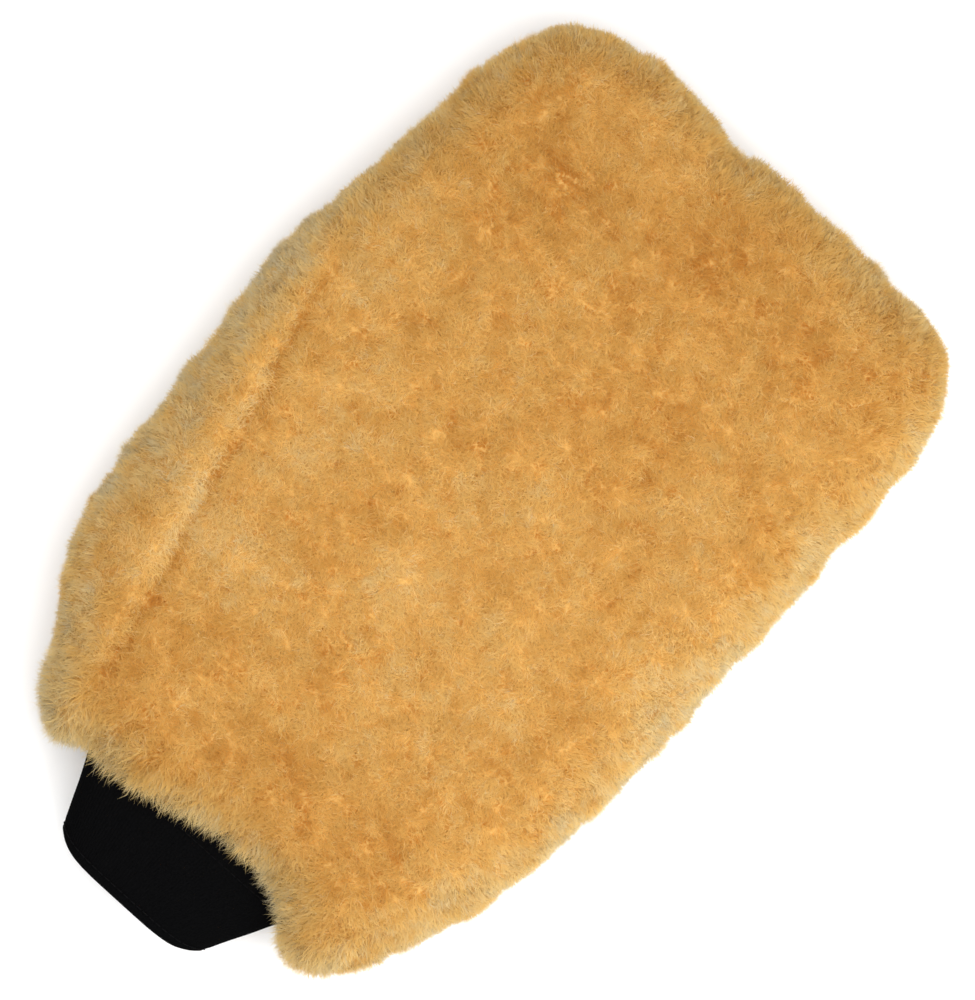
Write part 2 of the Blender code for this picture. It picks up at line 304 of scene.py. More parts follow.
def make_body(name, stand, turns=360, rings=84, creased=True):
    """The body as a mesh closed all round, its surface a distance below the pile tips."""
    inset = 1 - stand / np.array([HALF_WIDTH, HALF_LENGTH])
    rim = CENTRE + (OUTLINE[:: len(OUTLINE) // turns] - CENTRE) * inset
    flat, _ = rings_within(rim, rings)
    distance = edge_distance(flat, rim)
    distance[-turns:] = 0
    half = half_thickness(distance, stand)
    rise = crease_height(flat) * smooth_step(0, CREASE_FADE, half) if creased else 0.0
    top = np.column_stack([flat, MIDDLE_Z + half + rise])
    low = np.column_stack([flat, MIDDLE_Z - half])[:-turns]
    peak = half_thickness(np.array([HALF_WIDTH]), stand)[0]
    ends = np.array([[*CENTRE, MIDDLE_Z + peak], [*CENTRE, MIDDLE_Z - peak]])
    points = np.vstack([top, low, ends])
    mesh = bpy.data.meshes.new(name)
    mesh.from_pydata(points.tolist(), [], grid_faces(turns, rings))
    mesh.shade_smooth()
    return mesh


def vertex_values(mesh, name):
    values = np.empty(len(mesh.vertices) * 3)
    mesh.vertices.foreach_get(name, values)
    return values.reshape(-1, 3)


def make_skin():
    """The dense pile below the strands' free ends, with a soft unevenness."""
    mesh = make_body("plush_skin", PILE_STAND)
    points = vertex_values(mesh, "co")
    normals = vertex_values(mesh, "normal")
    rim = 1 - smooth_step(0.2, 0.8, np.abs(normals[:, 2]))
    swell = unevenness(points, FACE_WAVES)
    swell += rim * unevenness(points, SIDE_WAVES, SIDE_SWELL)
    points += normals * swell[:, None]
    mesh.vertices.foreach_set("co", points.ravel())
    mesh.update()
    return mesh


def cuff_share(y):
    """How far along the cuff a Y is, from 0 at its mouth to 1 at its root."""
    return (y - CUFF_LOW[1]) / (CUFF_HIGH[1] - CUFF_LOW[1])


def cuff_halves(y, inset=0.0):
    """Half width and half height of the cuff's section at y, inside its outer surface."""
    stops = (0, CUFF_NECK_SHARE, 1)
    return tuple(
        np.interp(cuff_share(y), stops, sizes) - inset
        for sizes in zip(CUFF_MOUTH, CUFF_NECK, CUFF_ROOT)
    )


def cuff_middle(y):
    """X of the cuff's middle at y."""
    return np.interp(cuff_share(y), (0, CUFF_NECK_SHARE, 1), CUFF_LEAN)


def in_cuff(points, margin):
    """True for points inside the cuff's section widened by a margin."""
    wide, high = cuff_halves(points[:, 1], -margin)
    across = np.abs((points[:, 0] - cuff_middle(points[:, 1])) / wide) ** CUFF_POWER
    upward = np.abs((points[:, 2] - MIDDLE_Z) / high) ** CUFF_POWER
    return (across + upward < 1) & (points[:, 1] < CUFF_HIGH[1])


def combine(piece, other_mesh, operation):
    """Cut a closed mesh out of a piece, or join it on, and keep only the result."""
    other = bpy.data.objects.new("other", other_mesh)
    bpy.context.scene.collection.objects.link(other)
    boolean = piece.modifiers.new("combine", "BOOLEAN")
    boolean.operation = operation
    boolean.object = other
    graph = bpy.context.evaluated_depsgraph_get()
    done = bpy.data.meshes.new_from_object(piece.evaluated_get(graph), depsgraph=graph)
    piece.modifiers.remove(boolean)
    old = piece.data
    piece.data = done
    bpy.data.meshes.remove(old)
    bpy.data.objects.remove(other)
    bpy.data.meshes.remove(other_mesh)


def make_hollow():
    """The space inside the pile, with the way in that the cuff fills."""
    body = make_body("space", PILE_DEPTH, turns=180, rings=40, creased=False)
    space = bpy.data.objects.new("space", body)
    bpy.context.scene.collection.objects.link(space)
    combine(space, cuff_passage(), "UNION")
    mesh = space.data
    bpy.data.objects.remove(space)
    return mesh


def scatter(mesh, count, random):
    """Random points on a mesh with their normals, evenly by area."""
    mesh.calc_loop_triangles()
    corners = np.empty(len(mesh.loop_triangles) * 3, np.int32)
    mesh.loop_triangles.foreach_get("vertices", corners)
    corners = corners.reshape(-1, 3)
    points = vertex_values(mesh, "co")
    normals = vertex_values(mesh, "normal")
    a, b, c = (points[corners[:, k]] for k in range(3))
    area = np.linalg.norm(np.cross(b - a, c - a), axis=1)
    picked = random.choice(len(area), count, p=area / area.sum())
    one, two = random.random((2, count))
    fold = one + two > 1
    one[fold], two[fold] = 1 - one[fold], 1 - two[fold]
    weights = np.stack([1 - one - two, one, two], axis=1)[:, :, None]
    chosen = corners[picked]
    return (points[chosen] * weights).sum(axis=1), unit((normals[chosen] * weights).sum(axis=1))


# ---- Pile ----------------------------------------------------------------------------
LEVELS = np.array([0.0, 0.5, 1.0])
CORNER_LEVELS = LEVELS[[0, 0, 1, 1, 2]]  # of a strand's five corners: two pairs and the tip
TAPERS = (0.5, 0.42)  # half widths of the two pairs, as shares of the strand's width


def strand_mesh(name, roots, normals, leans, lengths, widths, tones, pulls, random):
    """Flat tapering strands: each grows along its normal, then bends over to its lean.

    leans are tangent vectors as long as the sine of the strand's angle, pulls are where
    each strand's tip is drawn to, and tones pick its colour.
    """
    count = len(roots)
    lean = np.linalg.norm(leans, axis=1)
    rise = np.sqrt(np.clip(1 - lean**2, 0.05, 1))
    side = unit(np.cross(normals, leans))
    curl = random.normal(0, CURL, (count, 1))
    centres = []
    for level in LEVELS:
        up = normals * (rise * level**0.8)[:, None]
        wave = side * curl * (level * (1 - level) * 2.5)
        place = roots + lengths[:, None] * (up + leans * level**1.4 + wave)
        centres.append(place + pulls * level**1.3)
    centres = np.stack(centres, axis=1)
    along = unit(centres[:, 2] - centres[:, 0])
    facing = unit(np.cross(along, normals) + TWIST * random.normal(0, 1, (count, 3)))
    facing = unit(facing - along * (facing * along).sum(axis=1, keepdims=True))
    front = np.cross(facing, along)
    # Strands on the sides show their fronts to the sky and to the side alike.
    outwards = unit(normals + np.array([0.0, 0.0, SKY_SHARE]) * np.sign(normals[:, 2:]))
    turned = (front * outwards).sum(axis=1) < 0
    facing[turned] *= -1
    front[turned] *= -1

    points = np.empty((count, 5, 3))
    for index, taper in enumerate(TAPERS):
        reach = facing * (widths * taper)[:, None]
        points[:, 2 * index] = centres[:, index] - reach
        points[:, 2 * index + 1] = centres[:, index] + reach
    points[:, 4] = centres[:, 2]
    points[:, :, 2] = np.maximum(points[:, :, 2], FLOOR_GAP)
    shading = np.repeat(unit(outwards + front * FRONT_SHARE), 5, axis=0)

    base = (np.arange(count) * 5)[:, None]
    loops = np.concatenate(
        [base + np.array([0, 1, 3, 2]), base + np.array([2, 3, 4])], axis=1
    ).ravel()
    totals = np.tile([4, 3], count)
    starts = np.concatenate([[0], np.cumsum(totals)[:-1]])
    mesh = bpy.data.meshes.new(name)
    mesh.vertices.add(count * 5)
    mesh.vertices.foreach_set("co", points.ravel())
    mesh.loops.add(len(loops))
    mesh.loops.foreach_set("vertex_index", loops)
    mesh.polygons.add(len(totals))
    mesh.polygons.foreach_set("loop_start", starts)
    mesh.update(calc_edges=True)
    uv = np.stack([np.repeat(tones, 5), np.tile(CORNER_LEVELS, count)], axis=1)[loops]
    layer = mesh.uv_layers.new(name="OFBake")
    layer.data.foreach_set("uv", uv.astype(np.float32).ravel())
    mesh.shade_smooth()
    mesh.normals_split_custom_set_from_vertices(shading.tolist())
    return mesh


def tangent_part(vectors, normals):
    return vectors - normals * (vectors * normals).sum(axis=1, keepdims=True)


def partings(roots, normals, random):
    """Where short partings open the pile: how strongly, and the way that strands lean."""
    strength = np.zeros(len(roots))
    away = np.zeros((len(roots), 3))
    order = np.argsort(roots[:, 0])
    sorted_x = roots[order, 0]
    picked = random.integers(0, len(roots), PARTINGS)
    for centre, normal in zip(roots[picked], normals[picked]):
        run = unit(np.cross(normal, random.normal(0, 1, 3)))
        across = np.cross(normal, run)
        bow = random.normal(0, PARTING_BOW)
        reach = random.uniform(*PARTING_REACH)
        margin = reach * 1.1 + PARTING_WIDTH * 3
        first, last = np.searchsorted(sorted_x, [centre[0] - margin, centre[0] + margin])
        near = order[first:last]
        near = near[np.abs(roots[near] - centre).max(axis=1) < margin]
        offset = roots[near] - centre
        along = offset @ run
        side = offset @ across - bow * along**2
        ends = 1 - smooth_step(0.6, 1.1, np.abs(along) / reach)
        fade = np.exp(-((side / PARTING_WIDTH) ** 2)) * ends
        strength[near] = np.maximum(strength[near], fade)
        away[near] += across * (np.sign(side) * fade)[:, None]
    return strength, away


def crease_parting(roots, normals):
    """The same for the long crease on the front."""
    along, right = crease_place(roots[:, :2])
    fade = np.exp(-((right / PARTED_WIDTH) ** 2)) * crease_strength(along)
    fade *= smooth_step(0.1, 0.4, normals[:, 2])
    run = unit(CREASE_END - CREASE_START)
    across = np.array([run[1], -run[0], 0.0])
    # The ridge beside the valley carries a painted highlight.
    ridge = ridge_profile(right) * crease_strength(along)
    return fade, across * (np.sign(right) * fade)[:, None], ridge * (normals[:, 2] > 0)


def nearest_of(places, points):
    tree = KDTree(len(places))
    for index, place in enumerate(places):
        tree.insert(place, index)
    tree.balance()
    return np.array([tree.find(point)[1] for point in points])


def grow_pile(skin):
    """Strands all over the skin, in locks, partings and a fringe."""
    random = np.random.default_rng(SEED)
    roots, normals = scatter(skin, STRANDS, random)
    kept = ~in_cuff(roots, ROOT_CLEARANCE)
    roots, normals = roots[kept], normals[kept]
    count = len(roots)
    locks, lock_normals = scatter(skin, LOCKS, random)
    nearest = nearest_of(locks, roots)

    # Each lock of strands leans with its neighbours and a little its own way.
    east = unit(np.cross(np.tile([0.0, 1.0, 0.0], (LOCKS, 1)), lock_normals))
    north = np.cross(lock_normals, east)
    turn = unevenness(locks, LOCK_TURNS) + random.normal(0, 1.0, LOCKS)
    lean = unevenness(locks, LEAN_WAVES, LOCK_LEAN)
    lean = np.clip(lean + random.normal(0, LOCK_LEAN_SPREAD, LOCKS), *LOCK_LEAN_LIMITS)
    lock_lean = (east * np.cos(turn)[:, None] + north * np.sin(turn)[:, None]) * lean[:, None]
    lock_length = STRAND_LENGTH * unevenness(locks, LENGTH_WAVES, 1)
    lock_tone = unevenness(locks, TONE_WAVES, LOCK_TONE)

    # Where each root is: on a parting, along the crease, on the sides or on the lip.
    parted, away = partings(roots, normals, random)
    creased, crease_away, ridge = crease_parting(roots, normals)
    flatness = np.abs(normals[:, 2])
    rim = 1 - smooth_step(0.10, 0.90, flatness)
    # Painted light: strands on the sides get a paler, greyer tone.
    pale = np.clip((1 - flatness) / 0.75, 0, 1) ** 0.7
    pale *= 0.70 + 0.30 * smooth_step(0.0, 0.40, flatness)
    lip = smooth_step(*LIP, roots[:, 1]) * (np.abs(roots[:, 0]) < LIP_HALF_WIDTH)

    leans = lock_lean[nearest] * (1 - 0.5 * rim[:, None])
    leans += random.normal(0, 1, (count, 3)) * (STRAND_LEAN + SIDE_LEAN * rim[:, None])
    leans = leans + PARTED_LEAN * away + CREASED_LEAN * crease_away
    leans = tangent_part(leans, normals)
    size = np.linalg.norm(leans, axis=1)
    leans *= (np.clip(size, *LEAN_LIMITS) / np.maximum(size, 1e-6))[:, None]
    lengths = lock_length[nearest] * random.uniform(*LENGTH_SPREAD, count)
    grown = (1 - PARTED_LOSS * parted) * (1 - CREASED_LOSS * creased)
    lengths *= grown * (1 - SIDE_LOSS * rim) * (1 + LIP_GAIN * lip)
    drawn = random.uniform(*PULLS, count) * (1 - SIDE_PULL_LOSS * rim)
    pulls = (locks[nearest] - roots) * drawn[:, None]
    widths = random.uniform(*STRAND_WIDTHS, count)
    tones = lock_tone[nearest] + random.normal(0, TONE_SPREAD, count)
    # Painted glints: a few strands made paler stand for specks of light off glossy fibres.
    tones += GLINT_STEP * (random.random(count) < GLINT_STRANDS)
    # Painted shade: strands on a parting and along the crease are darker.
    tones -= PARTED_SHADE * parted + PARTED_SHADE * creased
    # Painted shade: the tone falls towards both ends.
    tones -= sum(fall * smooth_step(low, high, roots[:, 1]) for low, high, fall in END_SHADES)
    # Painted highlight on the ridge and painted light on the sides, both paler; the fringe over
    # the cuff is paler too.
    tones += RIDGE_HIGHLIGHT * ridge + SIDE_LIGHT * pale + LIP_TONE * lip
    tones = np.clip(tones, *TONE_LIMITS)
    return strand_mesh(
        "plush_pile", roots, normals, leans, lengths, widths, tones, pulls, random
    )


# ---- Swept pieces and sheets ---------------------------------------------------------
def mesh_of(name, points, faces):
    """A smooth mesh with its faces turned outwards."""
    build = bmesh.new()
    verts = [build.verts.new(point) for point in np.asarray(points).tolist()]
    for face in faces:
        build.faces.new([verts[index] for index in face])
    bmesh.ops.recalc_face_normals(build, faces=build.faces)
    mesh = bpy.data.meshes.new(name)
    build.to_mesh(mesh)
    build.free()
    mesh.shade_smooth()
    return mesh


def sweep(name, sections, loop=True):
    """A closed skin through equal sections; capped at its two ends unless they meet."""
    rows = np.array(sections)
    steps, size = rows.shape[:2]
    index = np.arange(steps * size).reshape(steps, size)
    onward = np.roll(index, -1, axis=0)
    beside = np.roll(index, -1, axis=1)
    beyond = np.roll(onward, -1, axis=1)
    quads = np.stack([index, onward, beyond, beside], axis=-1)
    faces = quads[: steps if loop else steps - 1].reshape(-1, 4).tolist()
    if not loop:
        faces += [index[0].tolist(), index[-1].tolist()]
    return mesh_of(name, rows.reshape(-1, 3), faces)


def even_turns(count):
    """Angles that step evenly round the cuff's mouth."""
    fine = np.linspace(0, 2 * pi, 4001)
    x = CUFF_MOUTH[0] * signed_power(np.cos(fine), 2 / CUFF_POWER)
    z = CUFF_MOUTH[1] * signed_power(np.sin(fine), 2 / CUFF_POWER)
    travelled = np.concatenate([[0], np.cumsum(np.hypot(np.diff(x), np.diff(z)))])
    return np.interp(np.linspace(0, travelled[-1], count, endpoint=False), travelled, fine)


def cuff_loop(turns, y, depth):
    """Points round the cuff at one y, a depth in from its outside, and their normals."""
    wide, high = cuff_halves(y, depth)
    x = wide * signed_power(np.cos(turns), 2 / CUFF_POWER)
    z = high * signed_power(np.sin(turns), 2 / CUFF_POWER)
    back = 1 - np.clip(cuff_share(y), 0, 1)
    bowed = y + CUFF_BOW * (x / wide) ** BOW_POWER * back**2
    points = np.column_stack([x + cuff_middle(y), bowed, MIDDLE_Z + z])
    run = np.roll(points, -1, axis=0) - np.roll(points, 1, axis=0)
    normals = unit(np.column_stack([-run[:, 2], np.zeros(len(x)), run[:, 0]]))
    outwards = np.sign((normals * np.column_stack([x, x * 0, z])).sum(axis=1))
    return points, normals * outwards[:, None]


def cuff_knit():
    """One elastic knit folded double at the mouth, ribbed along its length."""
    turns = even_turns(CUFF_RIBS * 4)
    rib = np.tile([1.0, 0.0, -1.0, 0.0], CUFF_RIBS) * RIB_RISE
    middle = CUFF_WALL / 2
    fold = CUFF_LOW[1] + middle
    places = [(y, 0.0) for y in np.linspace(CUFF_HIGH[1], fold, 50)]
    for turn in np.linspace(0, pi, 9)[1:-1]:
        places.append((fold - middle * sin(turn), middle * (1 - cos(turn))))
    places += [(y, CUFF_WALL) for y in np.linspace(fold, CUFF_HIGH[1], 30)]
    rows = []
    for y, depth in places:
        points, normals = cuff_loop(turns, y, depth)
        outer = 1 - 2 * depth / CUFF_WALL
        gather = unevenness(points * [1, GATHER_STRETCH, 1], GATHERS)
        for row in (HEM_ROW, CHANNEL_ROW, ROOT_ROW):
            offset = (y - CUFF_LOW[1] - row) / ROW_PINCH_WIDTH
            gather -= ROW_PINCH * np.exp(-(offset**2))
        rows.append(points + normals * ((rib + gather) * outer)[:, None])
    return sweep("cuff_knit", np.array(rows).transpose(1, 0, 2))


def cuff_band():
    """The elastic band between the knit's two layers."""
    low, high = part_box("cuff_elastic")
    turns = even_turns(240)
    inner, outer = CUFF_WALL / 2 + ELASTIC / 2, CUFF_WALL / 2 - ELASTIC / 2
    places = [(y, outer) for y in np.linspace(low[1], high[1], 14)]
    places += [(y, inner) for y in np.linspace(high[1], low[1], 14)]
    rows = [cuff_loop(turns, y, depth)[0] for y, depth in places]
    return sweep("cuff_elastic_band", np.array(rows).transpose(1, 0, 2))


def cuff_passage():
    """The space that the cuff fills where it goes through the pile."""
    turns = even_turns(96)
    places = np.linspace(CUFF_LOW[1], CUFF_HIGH[1] + 0.010, 12)
    rows = [cuff_loop(turns, y, PASSAGE_GAP)[0] * [1, 0, 1] + [0, y, 0] for y in places]
    return sweep("cuff_passage", rows, loop=False)


def stitches(name, route, ups):
    """A row of separate stitches along a route, each dipping into the cloth at both ends."""
    steps = np.linalg.norm(np.diff(route, axis=0), axis=1)
    travelled = np.concatenate([[0], np.cumsum(steps)])
    places = np.arange(0, travelled[-1] - STITCH_PITCH, STITCH_PITCH)
    share = np.linspace(0, 1, 7)
    turns = np.arange(6) * pi / 3
    points, faces = [], []
    for start in places:
        wanted = start + STITCH_SHARE * STITCH_PITCH * share
        centre = np.stack([np.interp(wanted, travelled, route[:, k]) for k in range(3)], axis=1)
        up = unit(np.stack([np.interp(wanted, travelled, ups[:, k]) for k in range(3)], axis=1))
        centre += up * (STITCH_RADIUS * (2.4 * np.sin(pi * share) ** 0.7 - 1.1))[:, None]
        run = unit(np.gradient(centre, axis=0))
        side = unit(np.cross(run, up))
        top = np.cross(side, run)
        for turn in turns:
            points.append(centre + STITCH_RADIUS * (cos(turn) * side + sin(turn) * top))
    points = np.array(points).reshape(-1, 6, len(share), 3).transpose(0, 2, 1, 3)
    index = np.arange(points.shape[0] * points.shape[1] * 6).reshape(-1, len(share), 6)
    for stitch in index:
        for low, high in zip(stitch, stitch[1:]):
            for k in range(6):
                faces.append((low[k], low[(k + 1) % 6], high[(k + 1) % 6], high[k]))
        faces += [tuple(stitch[0]), tuple(stitch[-1])]
    return mesh_of(name, points.reshape(-1, 3), faces)


def cuff_row(name, from_mouth):
    turns = even_turns(400)
    points, normals = cuff_loop(turns, CUFF_LOW[1] + from_mouth, 0.0)
    points, normals = (np.vstack([rows, rows[:1]]) for rows in (points, normals))
    return stitches(name, points + normals * STITCH_LIFT, normals)


def cuff_side_row(name):
    """The seam that closes the knit into a loop, inside its left edge."""
    y = np.linspace(CUFF_LOW[1] + HEM_ROW, CUFF_HIGH[1] - HEM_ROW, 30)
    x = cuff_middle(y) - cuff_halves(y, CUFF_WALL)[0]
    back = 1 - cuff_share(y)
    route = np.column_stack([x, y + CUFF_BOW * back**2, np.full(len(y), MIDDLE_Z)])
    return stitches(name, route, np.tile([1.0, 0.0, 0.0], (len(y), 1)))


def layer_rim(node, turns=240):
    """Plan outline of a layer inside the body, cut straight where its CAD piece is."""
    low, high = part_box(node)
    rim = OUTLINE[:: len(OUTLINE) // turns]
    inset = HALF_WIDTH - high[0]
    x = rim[:, 0] * high[0] / HALF_WIDTH
    y = CENTRE_Y + (rim[:, 1] - CENTRE_Y) * (HALF_LENGTH - inset) / HALF_LENGTH
    return np.column_stack([np.clip(x, low[0], high[0]), np.clip(y, low[1], high[1])])


def flat_layer(name, node, edge, wave, wave_size, seed):
    """A sheet or pad as thick as its CAD piece, with rounded edges and a soft unevenness."""
    low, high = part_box(node)
    rim, rings = layer_rim(node), 50
    turns = len(rim)
    flat, inward = rings_within(rim, rings)
    round_off = np.sqrt(1 - (1 - np.clip(inward / edge, 0, 1)) ** 2)
    middle, half = (low[2] + high[2]) / 2, (high[2] - low[2]) / 2 - wave
    rise = wave * noise_at(np.column_stack([flat, flat[:, 0] * 0]), wave_size, seed)
    top = np.column_stack([flat, middle + rise + half * round_off])
    under = np.column_stack([flat, middle + rise - half * round_off])[:-turns]
    rise = wave * noise_at([(*CENTRE, 0.0)], wave_size, seed)[0]
    ends = [(*CENTRE, middle + rise + half), (*CENTRE, middle + rise - half)]
    return mesh_of(name, np.vstack([top, under, ends]), grid_faces(turns, rings))


def grid_faces(turns, rings):
    """Faces of two grids of rings that share their outermost ring, closed at two ends."""
    top_end = (2 * rings - 1) * turns

    def corner(side, ring, turn):
        if ring == rings - 1 or side == 0:
            return ring * turns + turn % turns
        return rings * turns + ring * turns + turn % turns

    faces = []
    for turn in range(turns):
        faces.append((top_end, corner(0, 0, turn), corner(0, 0, turn + 1)))
        faces.append((top_end + 1, corner(1, 0, turn + 1), corner(1, 0, turn)))
        for ring in range(rings - 1):
            faces.append((
                corner(0, ring, turn), corner(0, ring + 1, turn),
                corner(0, ring + 1, turn + 1), corner(0, ring, turn + 1),
            ))
            faces.append((
                corner(1, ring, turn + 1), corner(1, ring + 1, turn + 1),
                corner(1, ring + 1, turn), corner(1, ring, turn),
            ))
    return faces


def lining_half(name, node, rises):
    """Half of the pocket bag: a wrinkled panel whose rim turns to the bag's seam.

    rises is 1 for the half whose panel lies above its seam and -1 for the other.
    """
    low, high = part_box(node)
    rim, rings = layer_rim(node), 70
    turns = len(rim)
    flat, inward = rings_within(rim, rings)
    panel, seam = (high[2], low[2]) if rises > 0 else (low[2], high[2])
    turned = 1 - (1 - np.clip(inward / LINING_TURN, 0, 1)) ** LINING_POWER
    turned = turned ** (1 / LINING_POWER)
    depth = abs(panel - seam) - LINING_THICKNESS - 2 * LINING_WRINKLE
    stretched = np.column_stack([flat[:, 0], flat[:, 1] * 0.4, flat[:, 0] * 0])
    near_mouth = 1 + 1.5 * smooth_step(-0.060, -0.098, flat[:, 1])
    wrinkle = LINING_WRINKLE * noise_at(stretched, 0.012, 31 + rises) * near_mouth
    wrinkle *= smooth_step(0, 0.004, inward)
    half = LINING_THICKNESS / 2
    z = seam + rises * (turned * depth + wrinkle + half)
    # The mouth edge lies open over the cuff's root instead of turning down to the seam.
    at_mouth = flat[:, 1] < low[1] + LINING_MOUTH_DEPTH
    opened = at_mouth & (np.abs(flat[:, 0]) < CUFF_ROOT[0])
    lift = seam + rises * (CUFF_ROOT[1] - LINING_MOUTH_INSET)
    z = np.where(opened, rises * np.maximum(rises * z, rises * lift), z)
    outer = np.column_stack([flat, z + rises * half])
    inner = np.column_stack([flat * [0.994, 1], z - rises * half])
    top, under = (outer, inner) if rises > 0 else (inner, outer)
    ends = [(*CENTRE, z[0] + half), (*CENTRE, z[0] - half)]
    return mesh_of(name, np.vstack([top, under, ends]), grid_faces_open(turns, rings))


def grid_faces_open(turns, rings):
    """Faces of a sheet's two grids, each with its own outer ring, joined round the edge."""
    size = rings * turns
    faces = []
    for turn in range(turns):
        after = (turn + 1) % turns
        faces.append((2 * size, turn, after))
        faces.append((2 * size + 1, size + after, size + turn))
        for ring in range(rings - 1):
            here, there = ring * turns, (ring + 1) * turns
            faces.append((here + turn, there + turn, there + after, here + after))
            faces.append((
                size + here + after, size + there + after, size + there + turn, size + here + turn,
            ))
        edge = (rings - 1) * turns
        faces.append((edge + turn, size + edge + turn, size + edge + after, edge + after))
    return faces


def side_band(name):
    """The laminated cloth behind the side pile, as a band that stops at the cuff."""
    low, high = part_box("side_backing")
    rim = layer_rim("side_backing", turns=720)
    first = np.nonzero((rim[:, 1] < CENTRE_Y) & (np.abs(rim[:, 0]) < CUFF_ROOT[0] + 0.002))[0]
    route = np.roll(rim, -(first[-1] + 1), axis=0)[: len(rim) - len(first)]
    run = unit(np.gradient(route, axis=0))
    outwards = np.column_stack([run[:, 1], -run[:, 0]])
    heights = np.linspace(low[2], high[2], 12)
    sections = []
    for place, way in zip(route, outwards):
        ripple = BAND_RIPPLE * sum(sin(at * turns) for at, turns in zip(place, BAND_RIPPLE_TURNS))
        outer = [(*(place + way * ripple), z) for z in heights]
        inner = [(*(place - way * (BAND_THICKNESS - ripple)), z) for z in heights[::-1]]
        sections.append(outer + inner)
    return sweep(name, sections, loop=False)


# ---- Materials -----------------------------------------------------------------------
def plain_material(name, roughness, specular=0.2, sheen=0.0):
    """A new material, with its nodes, its links and its shader."""
    material = bpy.data.materials.new(name)
    material.use_nodes = True
    shader = material.node_tree.nodes["Principled BSDF"]
    shader.inputs["Roughness"].default_value = roughness
    shader.inputs["Specular IOR Level"].default_value = specular
    shader.inputs["Sheen Weight"].default_value = sheen
    shader.inputs["Sheen Roughness"].default_value = 0.6
    return material, material.node_tree.nodes, material.node_tree.links, shader


def ramp(nodes, stops):
    """A colour ramp through stops of a place and a colour."""
    node = nodes.new("ShaderNodeValToRGB")
    elements = node.color_ramp.elements
    while len(elements) > 1:
        elements.remove(elements[-1])
    elements[0].position = stops[0][0]
    elements[0].color = (*stops[0][1], 1)
    for place, colour in stops[1:]:
        element = elements.new(place)
        element.color = (*colour, 1)
    return node


def pile_material():
    """Honey pile: U runs through the tones from parting to rim, V from root to tip."""
    material, nodes, links, shader = plain_material("honey_pile", 0.8, 0.12, 0.06)
    shader.inputs["Sheen Roughness"].default_value = 0.5
    place = nodes.new("ShaderNodeUVMap")
    place.uv_map = "OFBake"
    split = nodes.new("ShaderNodeSeparateXYZ")
    links.new(place.outputs["UV"], split.inputs[0])
    # The low end also holds the painted shade of partings, the crease and the ends; the top end,
    # paler, greyer and a little darker, holds the painted light and shade of the sides.
    tone = ramp(nodes, [
        (0.00, (0.58, 0.26, 0.042)), (0.25, (0.71, 0.42, 0.105)), (0.5, (0.78, 0.53, 0.175)),
        (0.75, (0.80, 0.63, 0.31)), (0.88, (0.71, 0.59, 0.345)), (1.0, (0.65, 0.57, 0.385)),
    ])
    depth = ramp(nodes, [(0.0, (0.95, 0.88, 0.80)), (0.5, (0.99, 0.98, 0.96)), (1.0, (1, 1, 1))])
    links.new(split.outputs["X"], tone.inputs[0])
    links.new(split.outputs["Y"], depth.inputs[0])
    mix = nodes.new("ShaderNodeMix")
    mix.data_type = "RGBA"
    mix.blend_type = "MULTIPLY"
    mix.inputs["Factor"].default_value = 1
    links.new(tone.outputs[0], mix.inputs["A"])
    links.new(depth.outputs[0], mix.inputs["B"])
    links.new(mix.outputs["Result"], shader.inputs["Base Color"])
    # Thin fibres let some light through from behind.
    thin = nodes.new("ShaderNodeBsdfTranslucent")
    links.new(mix.outputs["Result"], thin.inputs["Color"])
    both = nodes.new("ShaderNodeMixShader")
    both.inputs["Fac"].default_value = 0.5
    links.new(shader.outputs[0], both.inputs[1])
    links.new(thin.outputs[0], both.inputs[2])
    links.new(both.outputs[0], nodes["Material Output"].inputs["Surface"])
    return material


def skin_material():
    """The dense pile that shows between the strands, darker than their tips."""
    material, nodes, links, shader = plain_material("pile_roots", 0.9, 0.1)
    place = nodes.new("ShaderNodeTexCoord")
    grain = nodes.new("ShaderNodeTexNoise")
    grain.inputs["Scale"].default_value = 900
    grain.inputs["Detail"].default_value = 4
    links.new(place.outputs["Object"], grain.inputs["Vector"])
    tint = ramp(nodes, [(0.3, (0.46, 0.26, 0.070)), (0.7, (0.56, 0.34, 0.105))])
    links.new(grain.outputs["Fac"], tint.inputs[0])
    # Painted light: the sides are paler than the two faces, like the strands on them.
    split = nodes.new("ShaderNodeSeparateXYZ")
    links.new(place.outputs["Normal"], split.inputs[0])
    steep = nodes.new("ShaderNodeMath")
    steep.operation = "ABSOLUTE"
    links.new(split.outputs["Z"], steep.inputs[0])
    sides = ramp(nodes, [(0.15, (1, 1, 1)), (0.85, (0, 0, 0))])
    links.new(steep.outputs[0], sides.inputs[0])
    mix = nodes.new("ShaderNodeMix")
    mix.data_type = "RGBA"
    links.new(sides.outputs[0], mix.inputs["Factor"])
    links.new(tint.outputs[0], mix.inputs["A"])
    mix.inputs["B"].default_value = (0.64, 0.48, 0.25, 1)
    links.new(mix.outputs["Result"], shader.inputs["Base Color"])
    return material


def bump(nodes, links, shader, height, distance):
    node = nodes.new("ShaderNodeBump")
    node.inputs["Distance"].default_value = distance
    node.inputs["Strength"].default_value = 0.6
    links.new(height, node.inputs["Height"])
    links.new(node.outputs["Normal"], shader.inputs["Normal"])


def object_coordinates(nodes):
    return nodes.new("ShaderNodeTexCoord").outputs["Object"]


def bands(nodes, links, place, direction, scale):
    """Even threads across one axis."""
    wave = nodes.new("ShaderNodeTexWave")
    wave.bands_direction = direction
    wave.inputs["Scale"].default_value = scale
    wave.inputs["Distortion"].default_value = 0.4
    wave.inputs["Detail Scale"].default_value = 2
    links.new(place, wave.inputs["Vector"])
    return wave.outputs["Fac"]


